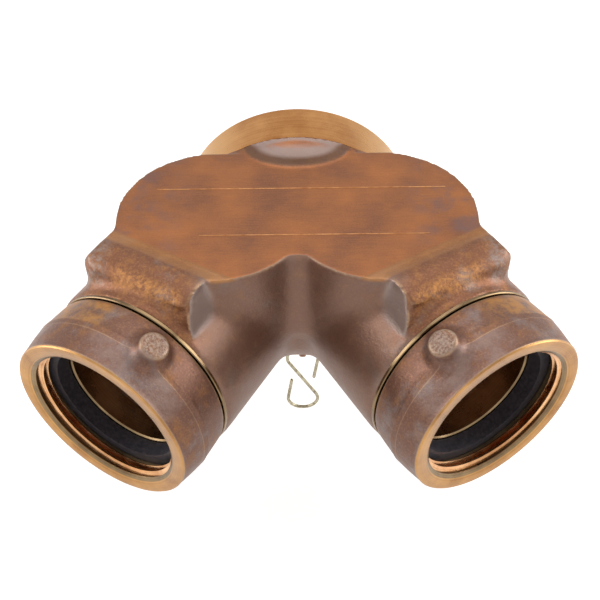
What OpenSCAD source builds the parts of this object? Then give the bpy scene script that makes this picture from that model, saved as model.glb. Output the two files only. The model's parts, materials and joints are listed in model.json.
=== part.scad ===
// Two-way fire department connection: two hose inlets with check flaps feeding one pipe outlet.
// Origin: centre of the outlet face. +Y out of the outlet, inlets towards -Y, +Z up. Millimetres.

/* [Layout] */
// Half the angle between the two inlet axes
inlet_angle = 30; // [28:1:34]
// From the point where the inlet axes meet to a swivel's open face
inlet_reach = 184; // [180:1:196]
// How far that point lies behind the outlet face
apex_back = 2; // [0:0.5:6]

/* [Hose swivels] */
// Outside diameter of a swivel at its open face
swivel_face_d = 93.2; // [92:0.1:95]
// Outside diameter at its mould line
swivel_mid_d = 97.8; // [96:0.1:100]
// Outside diameter at its back
swivel_back_d = 96; // [94:0.1:98]
// Distance of the mould line behind the open face
swivel_mid = 16.5; // [14:0.1:19]
// Length of a swivel
swivel_len = 31.6; // [30:0.1:34]
// Gap between a swivel and the flange behind it
swivel_gap = 0.7; // [0.4:0.1:1.2]
// Chamfer at the mouth of the thread
mouth_chamfer = 3.2; // [2:0.1:4]
// Chamfer of the machined outer edges
rim_chamfer = 0.6; // [0.4:0.1:1.5]
// Crest diameter of the hose thread
thread_d = 73.8; // [73:0.1:75]
// Depth of the threaded length
thread_len = 11.2; // [10:0.1:13]
// Diameter of a pin lug at its root
lug_root_d = 17; // [15:0.5:20]
// Diameter of a pin lug at its tip
lug_tip_d = 13.5; // [12:0.5:15]
// Height of a pin lug above the mould line
lug_rise = 6.8; // [5:0.1:9]
// Distance of the lugs behind the open face
lug_back = 18.6; // [16:0.1:21]
// Turn of the first lug from straight up, towards the other inlet
lug_turn = 27; // [0:1:60]

/* [Gaskets] */
// Outside diameter of a hose gasket
gasket_od = 78.4; // [77.5:0.1:79]
// Bore diameter of a hose gasket
gasket_bore_d = 66.8; // [65:0.1:68]
// Thickness of a hose gasket
gasket_t = 8.2; // [6:0.1:8.6]
// Play between the gasket and its recess
gasket_play = 0.3; // [0.2:0.05:0.5]

/* [Ball races] */
// Outside diameter of the snout that a swivel turns on
snout_od = 76.8; // [76:0.1:77.2]
// Radial running clearance of the swivel
swivel_fit = 0.08; // [0.05:0.01:0.1]
// Diameter of a race ball
ball_d = 4.76; // [4:0.02:5]
// Clearance all round a ball
ball_fit = 0.06; // [0.04:0.01:0.1]
// Balls in one race
ball_count = 36; // [24:1:42]
// Distance of the race behind the snout's end
race_back = 6; // [5:0.1:7]
// Diameter of the screw that closes the ball hole
ball_plug_d = 6; // [5.6:0.1:7]

/* [Cast body] */
// Waterway through a snout
waterway_d = 63.5; // [62:0.1:65]
// Machined edge of a barrel behind the swivel, diameter
flange_d = 96; // [94:0.1:97]
// Length of that machined edge
flange_t = 1.6; // [1:0.1:3]
// Outside diameter of a barrel
barrel_d = 97.6; // [97:0.1:100]
// Wall of the hollow behind the seats
wall = 4; // [3.6:0.1:4.6]
// Height of the flat top above the inlet axes
top_z = 55; // [54.5:0.1:58]
// Diameter of a flap chamber at the flat top
chamber_top_d = 94; // [93:0.5:98]
// Diameter of a flap chamber at the inlet axes
chamber_low_d = 95; // [94:0.5:98]
// Distance of a chamber's centre behind the swivel's face
chamber_back = 97.3; // [95:0.1:100]
// Offset of a chamber's centre towards the other inlet
chamber_in = 3.9; // [3:0.1:6]
// Front edge of the flat top between the chambers, from the outlet face
web_front = 105.6; // [100:0.1:110]
// How much further back the web's front is at the inlet axes
web_lean = 3.1; // [2:0.1:6]
// Diameter of the web's round underside
web_d = 96; // [94:0.5:97]

/* [Outlet] */
// Outside diameter of the outlet hub
outlet_od = 125; // [123:1:132]
// Machined length of the hub
outlet_len = 25; // [22:0.5:30]
// Rounding of the cast shoulder in front of it
shoulder_r = 22; // [16:0.5:26]
// Step from the machined hub down to the cast shoulder
shoulder_step = 0.9; // [0.5:0.1:2]
// Bore diameter of the outlet's pipe thread
outlet_bore_d = 109; // [106:0.5:110]
// Length of that bore
outlet_bore_len = 28; // [24:0.5:32]
// Diameter of the way from the hub into the chambers
throat_d = 76; // [70:1:80]

/* [Hinge ridges] */
// Front of a ridge behind the swivel's face
ridge_front = 37; // [36:0.5:38]
// Rounding of a ridge's front
ridge_r = 17; // [15:0.5:18]
// Rounding of a ridge's front outer corner, seen from above
ridge_corner_r = 22; // [18:0.5:24]
// Rounding of a ridge's outer end, seen from the front
ridge_end_r = 42; // [40:0.5:46]
// Height of that rounding's centre
ridge_end_z = 30; // [26:0.5:31]
// Reach of a ridge away from the other inlet
ridge_out = 39; // [38:0.5:41]
// Reach of a ridge's top towards the other inlet
ridge_in = 25.5; // [24:0.5:28]
// Lean of the ridge's flat inner end, degrees
ridge_lean = 17; // [5:1:22]

/* [Clappers] */
// Distance of a clapper seat behind the swivel's face
seat_back = 48; // [46:0.5:50]
// Width of the seat ring
seat_w = 2.6; // [2:0.1:3]
// Height of the hinge pin above the inlet axis
hinge_up = 43; // [42.5:0.1:43.5]
// Thickness of the rubber facing
facing_t = 3; // [2.5:0.1:3.5]
// Thickness of the clapper disc
clapper_t = 5; // [4:0.1:6]
// Diameter of the hinge pin
pin_d = 6.3; // [6:0.1:6.6]
// Radial running clearance of the hinge pin
pin_fit = 0.05; // [0.03:0.01:0.08]
// Diameter of the clapper's knuckle
knuckle_d = 13; // [12:0.1:13.4]
// Width of the clapper's knuckle
knuckle_w = 22.8; // [20:0.1:24]
// Room round the knuckle
knuckle_room = 1; // [0.6:0.1:1.2]
// Width of the clapper's arm
arm_w = 15; // [12:0.5:18]
// Height of the boss on the clapper's back
boss_rise = 5.5; // [3:0.5:6]
// Diameter of the facing's retainer
retainer_d = 50; // [46:0.5:56]
// Thickness of the retainer
retainer_t = 2; // [1.5:0.1:3]
// Diameter of the clapper screw
screw_d = 8; // [6:0.5:9]
// Across the flats of the screw's hexagon head
screw_af = 13; // [12:0.5:14]
// Height of the screw's head
screw_head = 5; // [4:0.5:6]
// Diameter of the plug behind the hinge pin
pin_plug_d = 12; // [10:0.5:13]
// Length of that plug
pin_plug_len = 10.5; // [8:0.5:12]

/* [S-hook] */
// Wire of the S-hook
wire_d = 2; // [1.6:0.1:2.4]
// Centreline radius of its two bends
hook_r = 9; // [7.5:0.1:10]
// Distance between the centres of the two bends
hook_pitch = 37.5; // [34:0.5:46]
// Straight tip after each bend
hook_tip = 16; // [12:1:20]
// Distance of the hook's eye from the outlet face
eye_front = 60.5; // [56:0.5:66]
// Offset of the eye to the right
eye_x = 2; // [-4:0.5:4]
// Hole of the eye
eye_hole_d = 6.4; // [5.6:0.1:7]
// Depth of the eye's neck under the web
eye_drop = 5; // [0:0.5:7]
// Wall of the eye round its hole
eye_wall = 3.3; // [2.5:0.1:4]
// Thickness of the eye
eye_t = 4; // [3:0.5:5]

/* [Hidden] */
$fn = 96;
e = 0.01;

// along the inlet axis, counted from the open face
gasket_end = thread_len + gasket_play + gasket_t;
snout_end = gasket_end + gasket_play;
race_y = snout_end + race_back;
flange_y = swivel_len + swivel_gap;

// ball race
race_r = snout_od / 2 + swivel_fit / 2;
groove_r = ball_d / 2 + ball_fit;
bearing_r = snout_od / 2 + swivel_fit;
ball_plug_in = race_r + groove_r + 0.3;
ball_plug_out = swivel_back_d / 2 - 0.5;

// hinge
hinge_y = seat_back + facing_t + clapper_t * 0.4;
disc_r = waterway_d / 2 + seat_w;
disc_y = seat_back + facing_t;
pin_r = pin_d / 2;
pin_hole_r = pin_r + pin_fit;
pocket_r = knuckle_d / 2 + knuckle_room;
pocket_w = knuckle_w + knuckle_room;
plug_in = ridge_out - pin_plug_len;
pin_out = plug_in - 0.3;
pin_in = pocket_w / 2 + pin_d;

// chamber and web, in the body's frame
sa = sin(inlet_angle);
ca = cos(inlet_angle);
chamber_x = (inlet_reach - chamber_back) * sa - chamber_in * ca;
chamber_y = apex_back - (inlet_reach - chamber_back) * ca - chamber_in * sa;
hollow_top = top_z - 5;
web_r = web_d / 2;
web_low = web_front - web_lean;
web_y = web_r - web_low;
plate_back = chamber_y + chamber_top_d / 2;
hub_r = outlet_od / 2;
cast_r = hub_r - shoulder_step;

// eye and S-hook
eye_r = eye_hole_d / 2 + eye_wall;
eye_z = -sqrt(pow(web_r, 2) - pow(eye_front + web_y, 2)) - eye_hole_d / 2 - eye_wall - eye_drop;
wire_z = eye_z - eye_hole_d / 2 + wire_d / 2 + 0.55;
hook_a = asin(2 * hook_r / hook_pitch);
hook_in = 8;

// local frame of the right inlet: origin on the open face, +Y inwards, +X away from the other inlet
module inlet() {
    translate([inlet_reach * sa, apex_back - inlet_reach * ca, 0]) rotate([0, 0, inlet_angle]) children();
}

module left() { mirror([1, 0, 0]) children(); }

// a round bar along the inlet axis, from y0 to y1
module along(y0, y1, r0, r1 = -1) {
    translate([0, y0, 0]) rotate([-90, 0, 0]) cylinder(h = y1 - y0, r1 = r0, r2 = r1 < 0 ? r0 : r1);
}

// a round bar across the inlet axis, from x0 to x1
module across(x0, x1, y, z, r) {
    translate([x0, y, z]) rotate([0, 90, 0]) cylinder(h = x1 - x0, r = r);
}

module race_ring(r) {
    translate([0, race_y, 0]) rotate([90, 0, 0]) rotate_extrude() translate([race_r, 0]) circle(r = r, $fn = 32);
}

module slot(w, d) { translate([-ball_plug_d, -w / 2, -d]) cube([2 * ball_plug_d, w, d + e]); }

// ---- cast body ----

// bar over the barrel: the common part of its side, front and plan outlines
module ridge_outside() {
    yc = ridge_front + ridge_r;
    zc = top_z - ridge_r;
    xc = ridge_out - ridge_end_r;
    xp = ridge_out - ridge_corner_r;
    x0 = -ridge_in - top_z * tan(ridge_lean);
    back = chamber_back - chamber_top_d * 0.24;
    intersection() {
        translate([x0, 0, 0]) rotate([90, 0, 90]) linear_extrude(ridge_out - x0) {
            translate([yc, zc + 0.4]) circle(r = ridge_r);
            polygon([[ridge_front, 0], [back, 0], [back, top_z + 1], [yc, top_z + 1], [yc, zc], [ridge_front, zc]]);
        }
        translate([0, back + 1, 0]) rotate([90, 0, 0]) linear_extrude(back + 1 - ridge_front + 1) {
            intersection() {
                translate([xc, ridge_end_z]) circle(r = ridge_end_r);
                translate([xc, 0]) square([ridge_end_r + 1, top_z]);
            }
            polygon([[x0, 0], [xc + 1, 0], [xc + 1, top_z], [-ridge_in, top_z]]);
        }
        translate([0, 0, -1]) linear_extrude(top_z + 2) {
            translate([xp, ridge_front + ridge_corner_r]) circle(r = ridge_corner_r);
            polygon([[x0 - 1, ridge_front], [xp, ridge_front], [xp, ridge_front + ridge_corner_r], [ridge_out + 1, ridge_front + ridge_corner_r], [ridge_out + 1, back + 2], [x0 - 1, back + 2]]);
        }
    }
}

// drum on top of the barrel, cut off in front at the ridge's crest
module chamber_outside() {
    difference() {
        translate([-chamber_in, chamber_back, 0]) cylinder(h = top_z, r1 = chamber_low_d / 2, r2 = chamber_top_d / 2);
        translate([-ridge_in, 0, top_z - ridge_r]) cube([2 * ridge_in, ridge_front + ridge_r, top_z]);
    }
}

module barrel_outside() {
    inlet() {
        along(snout_end, flange_y + 1, snout_od / 2);
        along(flange_y, flange_y + flange_t, flange_d / 2);
        along(flange_y + flange_t, flange_y + flange_t + 1, flange_d / 2, barrel_d / 2);
        along(flange_y + flange_t + 1, chamber_back, barrel_d / 2);
        translate([0, chamber_back, 0]) sphere(r = barrel_d / 2);
        ridge_outside();
        chamber_outside();
    }
}

module web_outside() {
    translate([-chamber_x, 0, 0]) rotate([90, 0, 90])
        linear_extrude(2 * chamber_x)
            polygon([[-web_low, 0], [-web_front, top_z], [plate_back, top_z], [plate_back, 0]]);
    translate([-chamber_x, web_y, 0]) rotate([0, 90, 0]) cylinder(h = 2 * chamber_x, r = web_r);
}

module hub_outside() {
    rotate([90, 0, 0]) rotate_extrude() {
        translate([0, rim_chamfer]) square([hub_r, outlet_len - rim_chamfer]);
        square([hub_r - rim_chamfer, outlet_len]);
        square([cast_r - shoulder_r, outlet_len + shoulder_r - 1]);
        translate([cast_r - shoulder_r, outlet_len - 1]) intersection() {
            circle(r = shoulder_r);
            square(shoulder_r + 1);
        }
    }
}

module eye() {
    translate([eye_x - eye_t / 2, -eye_front, 0]) {
        translate([0, 0, eye_z]) rotate([0, 90, 0]) cylinder(h = eye_t, r = eye_r);
        translate([0, -eye_r, eye_z]) cube([eye_t, 2 * eye_r, -eye_z - web_r / 2]);
    }
}

module chamber_hollow() {
    inlet() {
        along(seat_back, chamber_back, barrel_d / 2 - wall);
        translate([0, chamber_back, 0]) sphere(r = barrel_d / 2 - wall);
        translate([-chamber_in, chamber_back, 0]) cylinder(h = hollow_top, r1 = chamber_low_d / 2 - wall, r2 = chamber_top_d / 2 - wall);
    }
}

module web_hollow() {
    front = web_low - wall;
    translate([-chamber_x, 0, 0]) rotate([90, 0, 90])
        linear_extrude(2 * chamber_x)
            polygon([[-front, 0], [-front, hollow_top + 1], [plate_back - wall, hollow_top + 1], [plate_back - wall, 0]]);
    translate([-chamber_x * 0.7, web_y, 0]) rotate([0, 90, 0]) cylinder(h = chamber_x * 1.4, r = web_r - wall);
}

module hub_hollow() {
    rotate([90, 0, 0]) {
        translate([0, 0, -e]) cylinder(h = outlet_bore_len + 2 * e, r = outlet_bore_d / 2);
        translate([0, 0, outlet_bore_len])
            cylinder(h = (outlet_bore_d - throat_d) / 2, r1 = outlet_bore_d / 2, r2 = throat_d / 2);
        translate([0, 0, outlet_bore_len + 5]) cylinder(h = -chamber_y - 20 - outlet_bore_len - 5, r = throat_d / 2);
    }
}

module hinge_hollow() {
    inlet() {
        across(-pocket_w / 2, pocket_w / 2, hinge_y, hinge_up, pocket_r);
        translate([-pocket_w / 2, hinge_y, hinge_up - pocket_r]) cube([pocket_w, chamber_back - hinge_y, hollow_top - hinge_up + pocket_r]);
        translate([-pocket_w / 2, seat_back, waterway_d / 2]) cube([pocket_w, chamber_back - seat_back, hinge_up - waterway_d / 2]);
        across(-pin_in, plug_in + e, hinge_y, hinge_up, pin_hole_r);
        across(plug_in, ridge_out + 5, hinge_y, hinge_up, pin_plug_d / 2);
    }
}

module snout_hollow() {
    inlet() {
        along(snout_end - e, seat_back + e, waterway_d / 2);
        along(snout_end - e, snout_end + 1.6, waterway_d / 2 + 1.6, waterway_d / 2);
        race_ring(groove_r);
    }
}

module body() {
    color("peru") difference() {
        union() {
            barrel_outside();
            left() barrel_outside();
            web_outside();
            hub_outside();
            eye();
        }
        chamber_hollow();
        left() chamber_hollow();
        web_hollow();
        hub_hollow();
        snout_hollow();
        left() snout_hollow();
        hinge_hollow();
        left() hinge_hollow();
        translate([eye_x - eye_t, -eye_front, eye_z]) rotate([0, 90, 0]) cylinder(h = 2 * eye_t, r = eye_hole_d / 2);
        translate([-inlet_reach, -2 * inlet_reach, top_z])
            cube([2 * inlet_reach, 2 * inlet_reach - outlet_len - shoulder_r, top_z]);
    }
}

// ---- swivels ----

module lug(turn) {
    rotate([0, turn, 0]) translate([0, lug_back, 0]) {
        translate([0, 0, swivel_mid_d / 2 - 4]) cylinder(h = lug_rise + 3.2, r1 = lug_root_d / 2, r2 = lug_tip_d / 2);
        translate([0, 0, swivel_mid_d / 2 + lug_rise - 0.8]) cylinder(h = 0.8, r1 = lug_tip_d / 2, r2 = lug_tip_d / 2 - 0.8);
    }
}

module swivel() {
    inlet() difference() {
        union() {
            along(0, rim_chamfer, swivel_face_d / 2 - rim_chamfer, swivel_face_d / 2);
            along(rim_chamfer, swivel_mid, swivel_face_d / 2, swivel_mid_d / 2);
            along(swivel_mid, swivel_len - rim_chamfer, swivel_mid_d / 2, swivel_back_d / 2);
            along(swivel_len - rim_chamfer, swivel_len, swivel_back_d / 2, swivel_back_d / 2 - rim_chamfer);
            lug(-lug_turn);
            lug(180 - lug_turn);
        }
        along(-e, mouth_chamfer, thread_d / 2 + mouth_chamfer, thread_d / 2);
        along(-e, thread_len + e, thread_d / 2);
        along(thread_len, gasket_end + gasket_play, gasket_od / 2 + gasket_play);
        along(gasket_end, swivel_len + 1, bearing_r);
        race_ring(groove_r);
        translate([0, race_y, 0]) rotate([180, 0, 0]) cylinder(h = swivel_mid_d, r = ball_plug_d / 2);
    }
}

module gasket() {
    inlet() difference() {
        along(thread_len + gasket_play, gasket_end, gasket_od / 2);
        along(thread_len, gasket_end + 1, gasket_bore_d / 2);
    }
}

module balls() {
    inlet() for (i = [0:ball_count - 1])
        rotate([0, (i + 0.5) * 360 / ball_count, 0]) translate([race_r, race_y, 0]) sphere(r = ball_d / 2, $fn = 16);
}

module ball_plug() {
    inlet() translate([0, race_y, 0]) rotate([180, 0, 0]) difference() {
        translate([0, 0, ball_plug_in]) cylinder(h = ball_plug_out - ball_plug_in, r = ball_plug_d / 2 - 0.03);
        translate([0, 0, ball_plug_out]) slot(1.2, 1.6);
    }
}

// ---- clappers ----

module clapper() {
    inlet() difference() {
        union() {
            along(disc_y, disc_y + clapper_t, disc_r);
            along(disc_y, disc_y + clapper_t + boss_rise, screw_d / 2 + 5);
            across(-knuckle_w / 2, knuckle_w / 2, hinge_y, hinge_up, knuckle_d / 2);
            translate([-arm_w / 2, disc_y + 0.6, 0]) cube([arm_w, clapper_t + 0.6, hinge_up]);
            translate([-2.5, disc_y + clapper_t - 1, -disc_r * 0.62]) cube([5, 3.6, disc_r * 0.62 + hinge_up - knuckle_d / 2]);
        }
        across(-knuckle_w, knuckle_w, hinge_y, hinge_up, pin_hole_r);
        along(disc_y - 1, disc_y + clapper_t + 3, screw_d / 2 + 0.02);
    }
}

module facing() {
    inlet() difference() {
        along(seat_back + 0.05, disc_y - 0.02, disc_r - 0.3);
        along(seat_back - 1, disc_y + 1, screw_d / 2 + 0.1);
    }
}

module retainer() {
    inlet() difference() {
        union() {
            along(seat_back - retainer_t, seat_back + 0.03, retainer_d / 2);
            along(seat_back - retainer_t - 1.2, seat_back - retainer_t, retainer_d / 2 - 4, retainer_d / 2);
        }
        along(seat_back - retainer_t - 2, seat_back + 1, screw_d / 2 + 0.1);
    }
}

module clapper_screw() {
    top = seat_back - retainer_t - 1.23;
    inlet() {
        along(top - 0.01, disc_y + clapper_t + 2.8, screw_d / 2);
        translate([0, top - screw_head, 0]) rotate([-90, 0, 0]) cylinder(h = screw_head, d = screw_af / cos(30), $fn = 6);
    }
}

module hinge_pin() {
    inlet() across(-pin_in + 0.2, pin_out, hinge_y, hinge_up, pin_r);
}

// its outer end is filed flush with the ridge
module pin_plug() {
    inlet() intersection() {
        across(plug_in, ridge_out + e, hinge_y, hinge_up, pin_plug_d / 2 - 0.03);
        ridge_outside();
    }
}

// ---- S-hook ----

module half_hook() {
    rotate([0, 0, -hook_in]) {
        rotate_extrude(angle = 180 + hook_in + hook_a) translate([hook_r, 0]) circle(r = wire_d / 2, $fn = 24);
        translate([hook_r, 0, 0]) rotate([90, 0, 0]) {
            cylinder(h = hook_tip, r = wire_d / 2, $fn = 24);
            translate([0, 0, hook_tip]) sphere(r = wire_d / 2, $fn = 24);
        }
    }
}

module s_hook() {
    run = hook_pitch * cos(hook_a);
    color("silver") translate([eye_x, -eye_front, wire_z - hook_r]) rotate([90, 0, 0]) {
        half_hook();
        translate([0, -hook_pitch, 0]) rotate([0, 0, 180]) half_hook();
        rotate([0, 0, 180 + hook_a]) translate([hook_r, 0, 0]) {
            rotate([-90, 0, 0]) cylinder(h = run, r = wire_d / 2, $fn = 24);
            for (y = [0, run]) translate([0, y, 0]) sphere(r = wire_d * 0.51, $fn = 24);
        }
    }
}

module right_swivel() { color("goldenrod") swivel(); }
module left_swivel() { color("goldenrod") left() swivel(); }
module right_gasket() { color("dimgray") gasket(); }
module left_gasket() { color("dimgray") left() gasket(); }
module right_balls() { color("khaki") balls(); }
module left_balls() { color("khaki") left() balls(); }
module right_ball_plug() { color("tan") ball_plug(); }
module left_ball_plug() { color("tan") left() ball_plug(); }
module right_clapper() { color("orange") clapper(); }
module left_clapper() { color("orange") left() clapper(); }
module right_facing() { color("black") facing(); }
module left_facing() { color("black") left() facing(); }
module right_retainer() { color("gold") retainer(); }
module left_retainer() { color("gold") left() retainer(); }
module right_screw() { color("silver") clapper_screw(); }
module left_screw() { color("silver") left() clapper_screw(); }
module right_hinge_pin() { color("lightgray") hinge_pin(); }
module left_hinge_pin() { color("lightgray") left() hinge_pin(); }
module right_pin_plug() { color("darkkhaki") pin_plug(); }
module left_pin_plug() { color("darkkhaki") left() pin_plug(); }

body();
left_swivel();
left_gasket();
left_balls();
left_ball_plug();
left_clapper();
left_facing();
left_retainer();
left_screw();
left_hinge_pin();
left_pin_plug();
right_swivel();
right_gasket();
right_balls();
right_ball_plug();
right_clapper();
right_facing();
right_retainer();
right_screw();
right_hinge_pin();
right_pin_plug();
s_hook();
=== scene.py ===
import bpy, bmesh, json, math
import numpy as np
from mathutils import Matrix, Quaternion, Vector
from mathutils.bvhtree import BVHTree


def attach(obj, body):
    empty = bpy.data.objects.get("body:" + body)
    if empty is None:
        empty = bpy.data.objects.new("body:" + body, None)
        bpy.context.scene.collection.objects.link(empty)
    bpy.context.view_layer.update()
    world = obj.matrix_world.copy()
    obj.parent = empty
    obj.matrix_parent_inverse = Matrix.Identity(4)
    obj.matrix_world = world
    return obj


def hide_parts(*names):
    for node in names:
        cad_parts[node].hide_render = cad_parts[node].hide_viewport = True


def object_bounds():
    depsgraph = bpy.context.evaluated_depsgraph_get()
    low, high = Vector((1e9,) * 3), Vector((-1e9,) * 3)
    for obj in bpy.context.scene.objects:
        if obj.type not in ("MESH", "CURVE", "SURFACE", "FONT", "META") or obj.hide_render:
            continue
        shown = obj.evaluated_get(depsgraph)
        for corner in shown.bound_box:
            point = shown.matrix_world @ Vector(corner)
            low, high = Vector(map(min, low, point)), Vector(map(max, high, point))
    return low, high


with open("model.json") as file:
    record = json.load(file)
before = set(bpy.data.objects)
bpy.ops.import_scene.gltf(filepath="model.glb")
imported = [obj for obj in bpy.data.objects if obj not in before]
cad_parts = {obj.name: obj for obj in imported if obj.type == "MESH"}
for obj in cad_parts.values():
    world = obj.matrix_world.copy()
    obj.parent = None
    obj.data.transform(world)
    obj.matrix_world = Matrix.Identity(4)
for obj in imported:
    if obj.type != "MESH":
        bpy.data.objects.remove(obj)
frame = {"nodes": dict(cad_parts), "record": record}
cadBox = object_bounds()
mm = 0.001
mounts = {m["name"]: m for m in frame["record"]["mounts"]}
print("frame loaded:", len(frame["nodes"]), "nodes")


view = {"lookAt": (0.00085, -0.0805, 0.0), "elevation": 46.07, "distance": 0.483, "roll": -0.636,
    "lens": 56.05}
cameraData = bpy.data.cameras.new("viewCamera")
cameraData.lens = view["lens"]
cameraData.sensor_width = 36
cameraData.clip_start = 0.01
camera = bpy.data.objects.new("viewCamera", cameraData)
bpy.context.scene.collection.objects.link(camera)
up = math.radians(view["elevation"])
camera.location = Vector(view["lookAt"]) + view["distance"] * Vector((0, -math.cos(up), math.sin(up)))
camera.rotation_mode = "QUATERNION"
lookWay = Vector(view["lookAt"]) - camera.location
roll = Quaternion((0, 0, 1), math.radians(view["roll"]))
camera.rotation_quaternion = lookWay.to_track_quat("-Z", "Y") @ roll
bpy.context.scene.camera = camera


def linear(hexColor):
    channels = [int(hexColor[i:i + 2], 16) / 255 for i in (1, 3, 5)]
    return tuple(c / 12.92 if c <= 0.04045 else ((c + 0.055) / 1.055) ** 2.4 for c in channels) + (1.0,)


def addNode(tree, kind, inputs=None, pick=None, **settings):
    node = tree.nodes.new(kind)
    for name, value in settings.items():
        setattr(node, name, value)
    for name, value in (inputs or {}).items():
        if isinstance(value, bpy.types.NodeSocket):
            tree.links.new(value, node.inputs[name])
        else:
            node.inputs[name].default_value = value
    return node if pick is None else node.outputs[pick]


# 1 for rays from the camera, a mirror or a clear surface, 0 for the light that falls on the part
def seenItself(tree):
    path = addNode(tree, "ShaderNodeLightPath").outputs
    seen = addNode(tree, "ShaderNodeMath", {0: path["Is Camera Ray"], 1: path["Is Transmission Ray"]},
        pick=0, operation="MAXIMUM")
    return addNode(tree, "ShaderNodeMath", {0: seen, 1: path["Is Glossy Ray"]}, pick=0,
        operation="MAXIMUM")


lights = {
    # name: (place, aim, width, height, watts)
    "topSoftbox": ((0.0, 0.12, 0.75), (0, -0.07, 0), 0.7, 0.5, 2.0),
    "leftSoftbox": ((-0.75, -0.10, 0.28), (0, -0.07, 0), 0.35, 0.7, 3.3),
    "rightSoftbox": ((0.75, -0.05, 0.32), (0, -0.07, 0), 0.35, 0.7, 3.8),
    "frontFill": ((0.0, -0.85, 0.35), (0, -0.07, 0), 0.5, 0.3, 0.5),
}
for name, (place, aim, width, height, watts) in lights.items():
    data = bpy.data.lights.new(name, "AREA")
    data.shape, data.size, data.size_y, data.energy = "RECTANGLE", width, height, watts
    lamp = bpy.data.objects.new(name, data)
    bpy.context.scene.collection.objects.link(lamp)
    lamp.location = place
    lamp.rotation_euler = (Vector(aim) - Vector(place)).to_track_quat("-Z", "Y").to_euler()

world = bpy.data.worlds.new("studio")
bpy.context.scene.world = world
world.use_nodes = True
tree = world.node_tree
tree.nodes.clear()
seen = seenItself(tree)
room = addNode(tree, "ShaderNodeBackground", {"Color": linear("#d9d6d2"), "Strength": 0.42})
pale = addNode(tree, "ShaderNodeBackground", {"Color": (1, 1, 1, 1), "Strength": 1.0})
mixed = addNode(tree, "ShaderNodeMixShader", {"Fac": seen, 1: room.outputs[0], 2: pale.outputs[0]})
addNode(tree, "ShaderNodeOutputWorld", {"Surface": mixed.outputs[0]})

bpy.context.scene.view_settings.view_transform = "Standard"

bpy.ops.object.select_all(action="DESELECT")
bpy.ops.mesh.primitive_plane_add(size=6, location=(0, 0, cadBox[0].z - 0.004))
floor = bpy.context.object
floor.name = "floor"
floorPaint = bpy.data.materials.new("matt white floor paint")
floorPaint.use_nodes = True
tree = floorPaint.node_tree
tree.nodes.clear()
matt = addNode(tree, "ShaderNodeBsdfPrincipled", {"Base Color": (0.8, 0.8, 0.8, 1), "Roughness": 0.9})
glow = addNode(tree, "ShaderNodeEmission", {"Color": (1, 1, 1, 1), "Strength": 0.62})
both = addNode(tree, "ShaderNodeAddShader", {0: matt.outputs[0], 1: glow.outputs[0]})
seen = seenItself(tree)
mixed = addNode(tree, "ShaderNodeMixShader", {"Fac": seen, 1: matt.outputs[0], 2: both.outputs[0]})
addNode(tree, "ShaderNodeOutputMaterial", {"Surface": mixed.outputs[0]})
floor.data.materials.append(floorPaint)
print("stage ready")


def only(piece):
    bpy.ops.object.select_all(action="DESELECT")
    piece.select_set(True)
    bpy.context.view_layer.objects.active = piece


def applyModifier(piece, kind, **settings):
    only(piece)
    modifier = piece.modifiers.new(kind.lower(), kind)
    for name, value in settings.items():
        setattr(modifier, name, value)
    bpy.ops.object.modifier_apply(modifier=modifier.name)


def inEditMode(piece):
    only(piece)
    bpy.ops.object.mode_set(mode="EDIT")
    bpy.ops.mesh.select_all(action="SELECT")


def mergeAndTurnOut(piece, distance=1e-5):
    inEditMode(piece)
    bpy.ops.mesh.remove_doubles(threshold=distance)
    bpy.ops.mesh.normals_make_consistent(inside=False)
    bpy.ops.object.mode_set(mode="OBJECT")


def copyOfNode(node, name):
    source = frame["nodes"][node]
    piece = bpy.data.objects.new(name, source.data.copy())
    bpy.context.scene.collection.objects.link(piece)
    piece.data.materials.clear()
    mergeAndTurnOut(piece)
    return piece


# outline of (radius, s) pairs in mm, closed, turned round the inlet's own Y axis
def lathe(name, outline, steps=128):
    mesh = bpy.data.meshes.new(name)
    count = len(outline)
    mesh.from_pydata([(r * mm, s * mm, 0) for r, s in outline],
        [(i, (i + 1) % count) for i in range(count)], [])
    piece = bpy.data.objects.new(name, mesh)
    bpy.context.scene.collection.objects.link(piece)
    inEditMode(piece)
    bpy.ops.mesh.spin(steps=steps, angle=2 * math.pi, center=(0, 0, 0), axis=(0, 1, 0))
    bpy.ops.object.mode_set(mode="OBJECT")
    mergeAndTurnOut(piece)
    return piece


mountDepth = 7.2  # mm from the swivel's open face in to its mount
faceCentre = Vector(mounts["right_inlet"]["pos_m"]) + mountDepth * mm * Vector(mounts["right_inlet"]["axis"])
inletAngle = math.radians(30)
# inlet's own axes: X away from the other inlet, Y inwards from the swivel's face, Z up
rightInlet = Matrix.Translation(faceCentre) @ Matrix.Rotation(inletAngle, 4, "Z")
leftInlet = Matrix.Scale(-1, 4, (1, 0, 0)) @ rightInlet


def intoPlace(piece, matrix):
    piece.data.transform(matrix)
    if matrix.determinant() < 0:
        piece.data.flip_normals()
    return piece


def copyOf(piece, name):
    twin = bpy.data.objects.new(name, piece.data.copy())
    bpy.context.scene.collection.objects.link(twin)
    return twin


def joinAll(pieces, name):
    bpy.ops.object.select_all(action="DESELECT")
    for p in pieces:
        p.select_set(True)
    bpy.context.view_layer.objects.active = pieces[0]
    bpy.ops.object.join()
    whole = bpy.context.object
    whole.name = name
    return whole


# a short solid bar along the Y axis of matrix, in mm
def plug(radius, start, end, matrix):
    bpy.ops.object.select_all(action="DESELECT")
    bpy.ops.mesh.primitive_cylinder_add(vertices=96, radius=radius * mm, depth=abs(end - start) * mm,
        location=(0, 0, 0))
    bar = bpy.context.object
    bar.data.transform(Matrix.Translation((0, (start + end) / 2 * mm, 0))
        @ Matrix.Rotation(math.radians(90), 4, "X"))
    return intoPlace(bar, matrix)


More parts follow.
